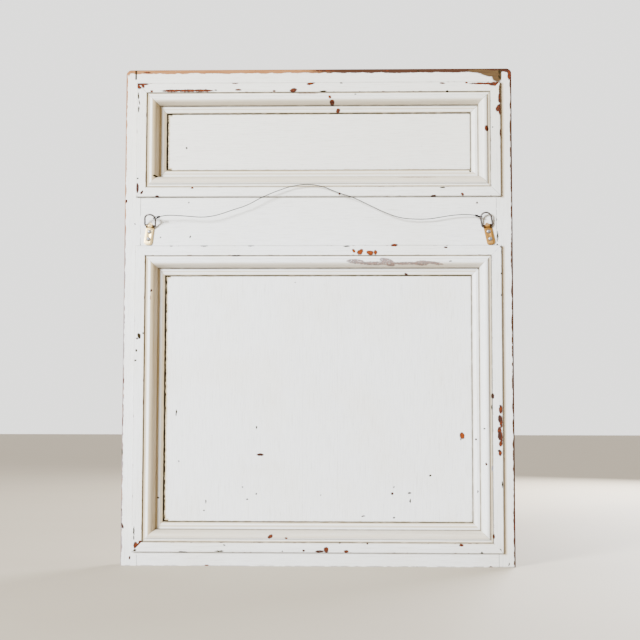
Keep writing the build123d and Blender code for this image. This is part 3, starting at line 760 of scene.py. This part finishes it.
def moulding_paint(name, level, side, grain):
    """Paint of a moulding: tan recesses of painted shade with some yellowed paint, grime and painted shade in
    the quirk, mitre lines and a cracked sight edge.
    """
    finish = OldPaint(name, grain)
    low, high = MOULDING_LEVELS[level]
    across = abs(finish.x).taken_from(MOULDING_HALF)
    upright = (finish.z - low).least(finish.z.taken_from(high))
    inwards = across.least(upright)
    mitre = abs(across - upright)
    broken = finish.broken
    # Painted shade on the slopes turned from the key light, with some yellowed paint
    for first, last, strength in TAN_SHADE_BANDS[side]:
        band = inwards.rise(first - 1.0, first + 1.0) * inwards.rise(last + 0.5, last - 0.5)
        finish.add("tan", band * strength)
    # The lamps already shade the right moulding's slopes, so its fillet line gets less grime and crack;
    # elsewhere the grime lines are also painted shade
    slopes_in_shade = side == "right"
    grime_and_shade_lines = (
        (QUIRK + 0.4, 1.2, 0.55),
        (FILLET_LINE, 0.9, 0.0 if slopes_in_shade else 0.45),
        (MOULDING_WIDTH - 0.4, 1.0, 0.5),
    )
    for centre, half_width, strength in grime_and_shade_lines:
        finish.add("film_and_shade", inwards.near(centre, half_width) * strength)
    # Grime and painted shade at the seam along the outer edge
    finish.add("film_and_shade", inwards.rise(1.4, 0.2) * finish.back * 0.6)
    faint = broken.rise(0.3, 0.55, 0.55, 0.9)
    finish.add("crack_and_shade", inwards.near(QUIRK, 0.5) * faint * 0.85)
    finish.add("crack_and_shade", inwards.near(FILLET_LINE, 0.4) * faint * (0.15 if slopes_in_shade else 0.75))
    finish.add("crack_and_shade", inwards.near(MOULDING_WIDTH, 0.8) * faint)
    open_mitre = finish.noise(finish.place, 0.05, 3.0, 0.6).rise(0.4, 0.55)
    finish.add("crack_and_shade", mitre.near(0.0, 0.4) * open_mitre * 0.6)
    ragged = finish.noise(finish.place, 0.09, 4.0, 0.65)
    finish.add("worn", inwards.near(QUIRK - 0.8, 0.5) * ragged.rise(0.56, 0.62) * 0.8)
    finish.add("worn", inwards.near(0.4, 0.7) * ragged.rise(0.6, 0.66) * abs(finish.y).rise(22.0, 24.0))
    scattered = finish.cells(0.02, 0.22, 2.0) * finish.back.taken_from(1.0)
    finish.add("worn", scattered * finish.noise(finish.place, 0.5, 2.0).rise(0.42, 0.5))
    return finish.layered(WEAR.get(name, []), BACK_FACE)


def panel_paint(name, level, grain):
    """Paint of a panel or board: cracks at its sight edge, darker and wider on the +X side as painted shadow
    of the moulding, a tan band of painted shadow inside them, and faint joints between boards.
    """
    finish = OldPaint(name, grain)
    low, high = MOULDING_LEVELS[level]
    foot = low + MOULDING_WIDTH
    top = high - MOULDING_WIDTH
    edge = outside_of(finish, PANEL_HALF, foot, top)
    strong = finish.x.rise(PANEL_HALF - 10.0, PANEL_HALF - 8.0)
    across_top = finish.z.rise(top - 5.0, top - 3.0) * 0.9
    across_foot = finish.z.rise(foot + 5.0, foot + 3.0) * 0.9
    strength = strong.most(across_top).most(across_foot).most(0.6)
    ragged = finish.noise(finish.place, 0.12, 4.0, 0.6).rise(0.3, 0.7, -0.8, 1.0)
    # Tan bands of painted shadow that the moulding casts inside the sight edge, widest on the +X side
    finish.add("tan", (edge + ragged * 0.6).rise(-2.2, -0.8) * strength)
    finish.add("tan", (edge + ragged * 0.8).rise(-5.2, -3.6) * strong)
    # The crack reaches further on the +X side, where it is painted shadow of the moulding
    reach = strong * 1.3
    crack_and_shade = (edge + ragged * strong + reach).rise(-1.4, -0.5) * finish.back
    finish.add("crack_and_shade", crack_and_shade * strength * finish.broken.rise(0.3, 0.5, 0.8, 1.0))
    if level == "lower":
        for joint in BOARD_JOINTS:
            finish.add("film_and_shade", finish.x.near(joint, 0.6) * 0.12)
    return finish.layered(WEAR.get(name, []), 1.0)


# Metals, card and glass


def dull_metal(name, colour, dark, roughness, patches=0.25):
    """Metal with darker tarnish in patches and fine scratches."""
    finish = Finish(name)
    tarnish = finish.noise(finish.place, patches, 4.0, 0.6).rise(0.45, 0.65)
    scratches = finish.noise(finish.stretched(finish.place, (0.4, 1.0, 3.0)), 2.0, 2.0, 0.6)
    shade = finish.mixed(tarnish * 0.6, colour, dark)
    rough = tarnish.rise(0.0, 1.0, roughness, roughness + 0.2)
    return finish.finished(shade, rough, scratches * 0.02, Metallic=1.0)


def strap_brass(left, right):
    """Brass of the straps: the right one is paler, and both have painted shade at the ends of their folds,
    where the ring's bar goes in.
    """
    finish = Finish("strap_brass")
    tarnish = finish.noise(finish.place, 0.18, 4.0, 0.6).rise(0.48, 0.68)
    scratches = finish.noise(finish.stretched(finish.place, (0.4, 1.0, 3.0)), 2.0, 2.0, 0.6)
    shade = finish.mixed(finish.x.rise(-40.0, 40.0), left, right)
    shade = finish.mixed(tarnish * 0.5, shade, srgb(132, 96, 52))
    for fold_centre, fold, _ in HANGERS.values():
        centre = Vector(fold_centre) * 1000
        along = finish.vector("DOT_PRODUCT", finish.vector("SUBTRACT", finish.place, centre).outputs[0], fold)
        along = abs(Field(finish.tree, along.outputs["Value"]))
        # Painted shade where the ring's bar goes into each end of the fold
        ends = along.rise(2.6, 4.6) * along.rise(12.0, 9.0) * finish.z.rise(centre.z - 4.5, centre.z - 2.5)
        shade = finish.mixed(ends * 0.95, shade, srgb(44, 26, 14))
    rough = tarnish.rise(0.0, 1.0, 0.34, 0.54)
    return finish.finished(shade, rough, scratches * 0.02, Metallic=1.0)


def mirror_silvering():
    """Mirror plate with a faint bloom towards its edges."""
    finish = Finish("mirror_silvering")
    metals = bpy.context.scene.mirror_metals
    low, high = MOULDING_LEVELS["lower"]
    edge = outside_of(finish, MOULDING_HALF - PLATE_EDGE, low + PLATE_EDGE, high - PLATE_EDGE)
    bloom = edge.rise(-9.0, 0.0) * finish.noise(finish.place, 0.15, 4.0, 0.7).rise(0.4, 0.65)
    shade = finish.mixed(bloom * 0.7, metals.silvering, srgb(120, 112, 100))
    rough = bloom.rise(0.0, 1.0, 0.02, 0.3)
    return finish.finished(shade, rough, None, Metallic=1.0)


def backing_card():
    """Brown card with fibres."""
    finish = Finish("backing_card")
    fibres = finish.noise(finish.stretched(finish.place, (0.3, 1.0, 1.5)), 0.8, 4.0, 0.7)
    card = bpy.context.scene.mirror_metals.card
    shade = finish.mixed(fibres.rise(0.4, 0.7) * 0.4, card, srgb(110, 84, 56))
    return finish.finished(shade, 0.9, fibres * 0.05)


# Making pieces


def add_piece(name, mesh, body, material, slot, *stood_for):
    """Puts a finished mesh in the scene, on its body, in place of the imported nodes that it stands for."""
    piece = bpy.data.objects.new(name, mesh)
    bpy.context.scene.collection.objects.link(piece)
    mesh.materials.clear()
    mesh.materials.append(material)
    if body is not None:
        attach(piece, body)
    if stood_for:
        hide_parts(*stood_for)
    return piece


def paint_node(name, material):
    """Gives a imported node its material."""
    node = nodes[name]
    node.data.materials.clear()
    node.data.materials.append(material)


def mesh_of(data):
    """Mesh of a curve, with its modifiers and bevel, as a data block of its own."""
    holder = bpy.data.objects.new("holder", data)
    bpy.context.scene.collection.objects.link(holder)
    bpy.context.view_layer.update()
    evaluated = holder.evaluated_get(bpy.context.evaluated_depsgraph_get())
    mesh = bpy.data.meshes.new_from_object(evaluated)
    bpy.data.objects.remove(holder)
    return mesh


def kept(work, name):
    """Mesh with the shape of a bmesh, which is freed."""
    mesh = bpy.data.meshes.new(name)
    work.to_mesh(mesh)
    work.free()
    return mesh


def smoothed(mesh, sharp_angle=None):
    """Shades a mesh smooth, with its edges above an angle in degrees kept sharp."""
    if sharp_angle is not None:
        mesh.set_sharp_from_angle(angle=math.radians(sharp_angle))
    mesh.polygons.foreach_set("use_smooth", [True] * len(mesh.polygons))
    return mesh


def curve_through(points, kind, cyclic=False):
    """Curve data with one spline. A NURBS one has its points as control points and keeps its ends."""
    data = bpy.data.curves.new("line", "CURVE")
    data.dimensions = "3D"
    data.resolution_u = 24
    add_spline(data, points, kind, cyclic)
    return data


def add_spline(data, points, kind, cyclic=False):
    spline = data.splines.new(kind)
    spline.points.add(len(points) - 1)
    for point, place in zip(spline.points, points):
        point.co = (*place, 1.0)
    spline.use_cyclic_u = cyclic
    if kind == "NURBS":
        spline.order_u = 3
        spline.use_endpoint_u = not cyclic


def tubes(lines, radius, cyclic=False, fineness=2, kind="POLY"):
    """Mesh of round tubes along some lines."""
    data = curve_through(lines[0], kind, cyclic)
    for line in lines[1:]:
        add_spline(data, line, kind, cyclic)
    data.resolution_u = 8
    data.bevel_depth = radius
    data.bevel_resolution = fineness
    data.use_fill_caps = not cyclic
    return smoothed(mesh_of(data))


def line_of(points):
    """Points along the smooth curve that a route of control points makes."""
    mesh = mesh_of(curve_through(points, "NURBS"))
    line = [vertex.co.copy() for vertex in mesh.vertices]
    bpy.data.meshes.remove(mesh)
    return line


def lengths_along(line):
    runs = [0.0]
    for here, after in zip(line, line[1:]):
        runs.append(runs[-1] + (after - here).length)
    return runs


def strands_along(line, count, offset, lay):
    """Lines of strands that wind round a line."""
    runs = lengths_along(line)
    side = (line[1] - line[0]).orthogonal().normalized()
    sides = []
    for index, here in enumerate(line):
        before = line[max(index - 1, 0)]
        after = line[min(index + 1, len(line) - 1)]
        heading = (after - before).normalized()
        side = (side - heading * side.dot(heading)).normalized()
        sides.append((side, heading.cross(side)))
    strands = []
    for strand in range(count):
        turned = []
        for here, run, (first, second) in zip(line, runs, sides):
            angle = 2 * math.pi * (run / lay + strand / count)
            turned.append(here + (first * math.cos(angle) + second * math.sin(angle)) * offset)
        strands.append(turned)
    return strands


def eased_copy(name, node, width, segments):
    """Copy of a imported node's mesh, merged, with its sharp edges rounded."""
    work = bmesh.new()
    work.from_mesh(nodes[node].data)
    bmesh.ops.remove_doubles(work, verts=work.verts, dist=1e-6)
    bmesh.ops.dissolve_limit(work, angle_limit=math.radians(1), verts=work.verts, edges=work.edges)
    sharp = [edge for edge in work.edges if edge.is_manifold and edge.calc_face_angle() > math.radians(50)]
    bmesh.ops.bevel(
        work,
        geom=sharp,
        offset=width,
        segments=segments,
        profile=0.5,
        affect="EDGES",
        material=-1,
        clamp_overlap=True,
    )
    return smoothed(kept(work, name), 38)


# Camera, wire and hangers


def ring_placing(side):
    """Matrix from a ring's own axes, fold along X and stand along Y, to the frame."""
    fold_centre, fold, stand = (Vector(values) for values in HANGERS[side])
    normal = fold.cross(stand)
    placing = Matrix((fold, stand, normal)).transposed().to_4x4()
    placing.translation = fold_centre
    return placing


def tie_placing(side):
    """Matrix from a tie's own axes, X out of the ring and Z along the ring's wire, to the frame."""
    place = math.radians(24)
    turn = Matrix.Rotation(place, 4, "Z")
    seat = Vector((RING_RADIUS * math.cos(place), RING_CROWN + RING_RADIUS * math.sin(place), 0.0)) * MM
    flip = Matrix(((1, 0, 0, 0), (0, 0, 1, 0), (0, -1, 0, 0), (0, 0, 0, 1)))
    return ring_placing(side) @ Matrix.Translation(seat) @ turn @ flip


class TRUMEAU_OT_camera(bpy.types.Operator):
    """Put the camera where the picture of the back was taken"""

    bl_idname = "trumeau.camera"
    bl_label = "Camera"

    def execute(self, context):
        data = bpy.data.cameras.new("camera")
        data.lens = CAMERA_LENS
        data.sensor_width = 36.0
        camera = bpy.data.objects.new("camera", data)
        camera.location = CAMERA_PLACE
        camera.rotation_euler = [math.radians(angle) for angle in CAMERA_TURN]
        context.scene.collection.objects.link(camera)
        context.scene.camera = camera
        return {"FINISHED"}


class TRUMEAU_OT_picture_wire(bpy.types.Operator):
    """Lay the stranded picture wire from one tie to the other"""

    bl_idname = "trumeau.picture_wire"
    bl_label = "Picture wire"

    def execute(self, context):
        settings = context.scene.mirror_wire
        steel = dull_metal("dark_wire", context.scene.mirror_metals.wire_steel, srgb(34, 30, 30), 0.55, 0.08)
        line = line_of(WIRE_ROUTE)
        strand_radius = settings.diameter / 6
        offset = settings.diameter / 2 - strand_radius
        strands = strands_along(line, settings.strands, offset, settings.lay)
        runs = lengths_along(line)
        middle = min(range(len(line)), key=lambda index: abs(runs[index] - runs[-1] / 2))
        halves = {"right": (0, middle + 1), "left": (middle, len(line))}
        for side, (first, last) in halves.items():
            pieces = [strand[first:last] for strand in strands + [line]]
            mesh = tubes(pieces, strand_radius, fineness=1)
            piece = add_piece(f"picture_wire_{side}_half", mesh, None, steel, "wire_steel", "picture_wire")
            path = line[first:last] if side == "right" else line[first:last][::-1]
            reach = lengths_along(path)
            far = next(place for place, run in zip(path, reach) if run > 0.15)
            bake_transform(piece)
        return {"FINISHED"}


class TRUMEAU_OT_wire_ties(bpy.types.Operator):
    """Wind the ends of the wire round the rings and round themselves"""

    bl_idname = "trumeau.wire_ties"
    bl_label = "Wire ties"

    def execute(self, context):
        steel = dull_metal("dark_ties", context.scene.mirror_metals.wire_steel, srgb(58, 42, 40), 0.6, 0.3)
        loop = [
            (9.8, 0.0, 0.0),
            (7.4, 0.0, 0.0),
            (5.0, 0.0, 0.1),
            (3.0, 0.9, 0.3),
            (1.6, 2.3, 0.5),
            (-0.4, 2.9, 0.4),
            (-2.4, 1.9, 0.2),
            (-3.0, 0.0, 0.0),
            (-2.3, -1.9, -0.3),
            (-0.3, -2.8, -0.6),
            (1.7, -2.2, -0.9),
            (3.2, -1.0, -1.3),
        ]
        start = 4.1
        advance = 0.23
        radius = 1.4
        coil = []
        for step in range(22):
            angle = math.radians(-95 + 60 * step)
            coil.append((start + advance * step, radius * math.sin(angle), -radius * math.cos(angle)))
        tail = [(9.5, -1.5, 0.8), (10.0, -1.9, 1.3)]
        for side in HANGERS:
            placing = tie_placing(side)
            line = [placing @ (Vector(point) * MM) for point in loop + coil + tail]
            mesh = tubes([line], 0.00076, fineness=2, kind="NURBS")
            add_piece(f"wire_tie_{side}_turns", mesh, f"ring_{side}", steel, "wire_steel", f"wire_tie_{side}")
        return {"FINISHED"}


class TRUMEAU_OT_d_rings(bpy.types.Operator):
    """Bend the two D-rings from round wire"""

    bl_idname = "trumeau.d_rings"
    bl_label = "D-rings"

    def execute(self, context):
        steel = dull_metal("ring_steel", context.scene.mirror_metals.ring_steel, srgb(48, 40, 36), 0.36)
        outline = []
        crown = (0.0, RING_CROWN, RING_RADIUS, 0, 180)
        corners = ((6.4, 2.6, 2.6, -90, 0), crown, (-6.4, 2.6, 2.6, 180, 270))
        for across, up, radius, start, end in corners:
            steps = max(8, round(abs(end - start) / 6))
            for step in range(steps + 1):
                angle = math.radians(start + (end - start) * step / steps)
                outline.append((across + radius * math.cos(angle), up + radius * math.sin(angle), 0.0))
        for side in HANGERS:
            placing = ring_placing(side)
            line = [placing @ (Vector(point) * MM) for point in outline]
            mesh = tubes([line], 0.0015, cyclic=True, fineness=6)
            add_piece(f"d_ring_{side}_round", mesh, f"ring_{side}", steel, "ring_steel", f"d_ring_{side}")
        return {"FINISHED"}


class TRUMEAU_OT_hanger_straps(bpy.types.Operator):
    """Ease the edges of the folded straps and plate them"""

    bl_idname = "trumeau.hanger_straps"
    bl_label = "Hanger straps"

    def execute(self, context):
        metals = context.scene.mirror_metals
        brass = strap_brass(metals.brass, metals.pale_brass)
        for side in HANGERS:
            mesh = eased_copy(f"hanger_strap_{side}_eased", f"hanger_strap_{side}", 0.00022, 2)
            with_tongue(mesh, side)
            add_piece(mesh.name, mesh, "frame", brass, "strap_brass", f"hanger_strap_{side}")
        return {"FINISHED"}


def with_tongue(mesh, side):
    """Adds the small pierced tongue that stands above a strap's fold, flat on the rail."""
    half_width = 2.9
    shoulder = 3.4
    crown = 2.5
    hole_up = 3.2
    hole_radius = 1.15
    outline = [(-half_width, -2.0), (half_width, -2.0)]
    for step in range(13):
        angle = math.radians(15 * step)
        outline.append((half_width * math.cos(angle), shoulder + crown * math.sin(angle)))
    hole = []
    for step in range(18):
        angle = math.radians(20 * step)
        hole.append((hole_radius * math.cos(angle), hole_up + hole_radius * math.sin(angle)))
    plates = []
    for points, low, high in ((outline, 0.05, 1.15), (hole, -1.0, 2.0)):
        work = bmesh.new()
        face = work.faces.new([work.verts.new((across * MM, up * MM, low * MM)) for across, up in points])
        grown = bmesh.ops.extrude_face_region(work, geom=[face])["geom"]
        moved = [item for item in grown if isinstance(item, bmesh.types.BMVert)]
        bmesh.ops.translate(work, vec=(0, 0, (high - low) * MM), verts=moved)
        bmesh.ops.recalc_face_normals(work, faces=work.faces)
        plates.append(kept(work, "tongue"))
    tongue = cut_from(*plates)
    fold_centre, fold, _ = (Vector(values) for values in HANGERS[side])
    outwards = Vector((0, 1, 0))
    up = fold.cross(outwards)
    if up.z < 0:
        fold, up = -fold, -up
    placing = Matrix((fold, up, outwards)).transposed().to_4x4()
    placing.translation = (fold_centre.x, BACK_FACE * MM, fold_centre.z)
    tongue.transform(placing)
    work = bmesh.new()
    work.from_mesh(mesh)
    work.from_mesh(tongue)
    work.to_mesh(mesh)
    work.free()


def screw_mesh():
    """Pan head screw with a cross recess; its seat is at the origin and its head points along +Z."""
    head = [(0.0, 2.2), (1.2, 2.15), (2.2, 1.9), (3.0, 1.4), (3.4, 0.85), (3.5, 0.35), (3.4, 0.0)]
    shank = [(1.7, 0.0), (1.7, -13.0), (0.0, -14.0)]
    work = bmesh.new()
    previous = None
    for across, up in head + shank:
        vertex = work.verts.new((across * MM, 0.0, up * MM))
        if previous is not None:
            work.edges.new((previous, vertex))
        previous = vertex
    bmesh.ops.spin(
        work,
        geom=work.verts[:] + work.edges[:],
        cent=(0, 0, 0),
        axis=(0, 0, 1),
        angle=2 * math.pi,
        steps=36,
        use_merge=True,
    )
    bmesh.ops.remove_doubles(work, verts=work.verts, dist=1e-6)
    bmesh.ops.recalc_face_normals(work, faces=work.faces)
    screw = kept(work, "screw")
    work = bmesh.new()
    for turn in (0, 90):
        arm = bmesh.ops.create_cube(work, size=1.0)["verts"]
        bmesh.ops.scale(work, vec=(4.0 * MM, 0.85 * MM, 2.6 * MM), verts=arm)
        bmesh.ops.rotate(work, cent=(0, 0, 0), matrix=Matrix.Rotation(math.radians(turn), 3, "Z"), verts=arm)
        bmesh.ops.translate(work, vec=(0, 0, 2.3 * MM), verts=arm)
    return cut_from(screw, kept(work, "cutter"))


def cut_from(mesh, cutter):
    """Mesh of a body with a cutter taken out of it."""
    body = bpy.data.objects.new("body", mesh)
    tool = bpy.data.objects.new("tool", cutter)
    for item in (body, tool):
        bpy.context.scene.collection.objects.link(item)
    difference = body.modifiers.new("cut", "BOOLEAN")
    difference.operation = "DIFFERENCE"
    difference.solver = "EXACT"
    difference.use_self = True
    difference.object = tool
    bpy.context.view_layer.update()
    evaluated = body.evaluated_get(bpy.context.evaluated_depsgraph_get())
    result = bpy.data.meshes.new_from_object(evaluated)
    for item in (body, tool):
        bpy.data.objects.remove(item)
    return smoothed(result, 32)


class TRUMEAU_OT_strap_screws(bpy.types.Operator):
    """Drive two pan head screws through each strap"""

    bl_idname = "trumeau.strap_screws"
    bl_label = "Strap screws"

    def execute(self, context):
        zinc = dull_metal("screw_zinc", context.scene.mirror_metals.zinc, srgb(84, 84, 86), 0.3, 0.4)
        pattern = screw_mesh()
        work = bmesh.new()
        for side, turns in (("left", (25, 70)), ("right", (10, 50))):
            fold_centre, fold, _ = (Vector(values) for values in HANGERS[side])
            down = fold.cross(Vector((0, 1, 0)))
            if down.z > 0:
                down = -down
            for distance, turn in zip((9.7, 22.4), turns):
                seat = fold_centre + down * distance * MM
                seat.y = (BACK_FACE + 2.4) * MM
                placing = Matrix.Translation(seat) @ Matrix.Rotation(math.radians(-90), 4, "X")
                placing = placing @ Matrix.Rotation(math.radians(turn), 4, "Z")
                copy = pattern.copy()
                copy.transform(placing)
                work.from_mesh(copy)
                bpy.data.meshes.remove(copy)
        mesh = smoothed(kept(work, "pan_head_screws"), 32)
        add_piece("pan_head_screws", mesh, "frame", zinc, "screw_zinc", "strap_screws")
        return {"FINISHED"}


# Woodwork, plate and stage


class TRUMEAU_OT_frame_paint(bpy.types.Operator):
    """Paint and wear the stiles and rails"""

    bl_idname = "trumeau.frame_paint"
    bl_label = "Frame paint"

    def execute(self, context):
        for name in ("top_rail", "middle_rail", "bottom_rail"):
            paint_node(name, frame_paint(name, "across"))
        for name in ("stile_left", "stile_right"):
            paint_node(name, frame_paint(name, "upright"))
        return {"FINISHED"}


class TRUMEAU_OT_moulding_paint(bpy.types.Operator):
    """Paint and wear the mouldings"""

    bl_idname = "trumeau.moulding_paint"
    bl_label = "Moulding paint"

    def execute(self, context):
        for level in MOULDING_LEVELS:
            for side, grain in SIDE_GRAINS.items():
                name = f"{level}_moulding_{side}"
                paint_node(name, moulding_paint(name, level, side, grain))
        return {"FINISHED"}


class TRUMEAU_OT_panel_paint(bpy.types.Operator):
    """Paint and wear the panels and glazing beads"""

    bl_idname = "trumeau.panel_paint"
    bl_label = "Panel paint"

    def execute(self, context):
        paint_node("upper_panel", panel_paint("upper_panel", "upper", "across"))
        for board in ("left", "centre", "right"):
            name = f"lower_panel_board_{board}"
            paint_node(name, panel_paint(name, "lower", "upright"))
        for level in MOULDING_LEVELS:
            for side, grain in SIDE_GRAINS.items():
                name = f"{level}_bead_{side}"
                paint_node(name, panel_paint(name, level, grain))
        return {"FINISHED"}


class TRUMEAU_OT_mirror_plate(bpy.types.Operator):
    """Silver the mirror plate and colour the card behind it"""

    bl_idname = "trumeau.mirror_plate"
    bl_label = "Mirror plate"

    def execute(self, context):
        paint_node("mirror_glass", mirror_silvering())
        paint_node("mirror_backing", backing_card())
        return {"FINISHED"}


def add_area_light(name, place, aim, size, power, colour):
    data = bpy.data.lights.new(name, "AREA")
    data.shape = "SQUARE"
    data.size = size
    data.energy = power
    data.color = colour
    light = bpy.data.objects.new(name, data)
    light.location = place
    light.rotation_euler = (Vector(aim) - Vector(place)).to_track_quat("-Z", "Y").to_euler()
    bpy.context.scene.collection.objects.link(light)


def add_sun(name, towards, strength, spread, colour):
    data = bpy.data.lights.new(name, "SUN")
    data.energy = strength
    data.angle = math.radians(spread)
    data.color = colour
    light = bpy.data.objects.new(name, data)
    light.rotation_euler = Vector(towards).to_track_quat("Z", "Y").to_euler()
    bpy.context.scene.collection.objects.link(light)


class TRUMEAU_OT_stage(bpy.types.Operator):
    """Add the pale floor, the soft lights and the background"""

    bl_idname = "trumeau.stage"
    bl_label = "Floor and lights"

    def execute(self, context):
        settings = context.scene.mirror_stage
        work = bmesh.new()
        bmesh.ops.create_grid(work, x_segments=1, y_segments=1, size=settings.floor_size / 2)
        mesh = kept(work, "floor")
        finish = Finish("floor_plaster")
        clouds = finish.noise(finish.place, 0.004, 4.0, 0.6)
        shade = finish.mixed(clouds.rise(0.35, 0.7) * 0.25, settings.floor_colour, (0.40, 0.34, 0.25, 1.0))
        mesh.materials.append(finish.finished(shade, 0.7, clouds * 0.2))
        floor = bpy.data.objects.new("floor", mesh)
        context.scene.collection.objects.link(floor)
        add_sun("key sun", (0.74, 1.0, 0.38), settings.key_sun, 14, (0.90, 0.95, 1.0))
        add_area_light("key", (1.5, 2.0, 1.15), (0, 0, 0.42), 0.5, settings.key_power, (0.90, 0.95, 1.0))
        add_area_light("front", (-1.5, -2.4, 1.3), (0, 0, 0.42), 1.6, settings.front_power, (0.97, 0.98, 1.0))
        world = bpy.data.worlds.new("background")
        world.use_nodes = True
        tree = world.node_tree
        shown = tree.nodes["Background"]
        shown.inputs["Color"].default_value = settings.background
        shown.inputs["Strength"].default_value = settings.background_strength
        ambient = tree.nodes.new("ShaderNodeBackground")
        ambient.inputs["Color"].default_value = settings.ambient
        ambient.inputs["Strength"].default_value = settings.ambient_strength
        path = tree.nodes.new("ShaderNodeLightPath")
        mix = tree.nodes.new("ShaderNodeMixShader")
        tree.links.new(path.outputs["Is Diffuse Ray"], mix.inputs[0])
        tree.links.new(shown.outputs[0], mix.inputs[1])
        tree.links.new(ambient.outputs[0], mix.inputs[2])
        tree.links.new(mix.outputs[0], tree.nodes["World Output"].inputs["Surface"])
        context.scene.world = world
        return {"FINISHED"}


class TRUMEAU_PT_pieces(bpy.types.Panel):
    """Buttons for every piece and the settings they read"""

    bl_idname = "TRUMEAU_PT_pieces"
    bl_label = "Trumeau mirror"
    bl_space_type = "VIEW_3D"
    bl_region_type = "UI"
    bl_category = "Mirror"

    def draw(self, context):
        for operator in OPERATORS:
            self.layout.operator(operator.bl_idname)
        for group in GROUPS:
            settings = getattr(context.scene, group)
            self.layout.label(text=group.replace("_", " ").capitalize())
            for setting in type(settings).__annotations__:
                self.layout.prop(settings, setting)


OPERATORS = (
    TRUMEAU_OT_camera,
    TRUMEAU_OT_picture_wire,
    TRUMEAU_OT_wire_ties,
    TRUMEAU_OT_d_rings,
    TRUMEAU_OT_hanger_straps,
    TRUMEAU_OT_strap_screws,
    TRUMEAU_OT_frame_paint,
    TRUMEAU_OT_moulding_paint,
    TRUMEAU_OT_panel_paint,
    TRUMEAU_OT_mirror_plate,
    TRUMEAU_OT_stage,
)
GROUPS = {
    "mirror_paint": MirrorPaint,
    "mirror_metals": MirrorMetals,
    "mirror_wire": MirrorWire,
    "mirror_stage": MirrorStage,
}


def register():
    for group, settings in GROUPS.items():
        bpy.utils.register_class(settings)
        setattr(bpy.types.Scene, group, bpy.props.PointerProperty(type=settings))
    for shown in (*OPERATORS, TRUMEAU_PT_pieces):
        bpy.utils.register_class(shown)


def unregister():
    for shown in (TRUMEAU_PT_pieces, *reversed(OPERATORS)):
        bpy.utils.unregister_class(shown)
    for group, settings in GROUPS.items():
        delattr(bpy.types.Scene, group)
        bpy.utils.unregister_class(settings)


def main():
    register()
    for operator in OPERATORS:
        area, action = operator.bl_idname.split(".")
        getattr(getattr(bpy.ops, area), action)()


if __name__ == "__main__":
    main()
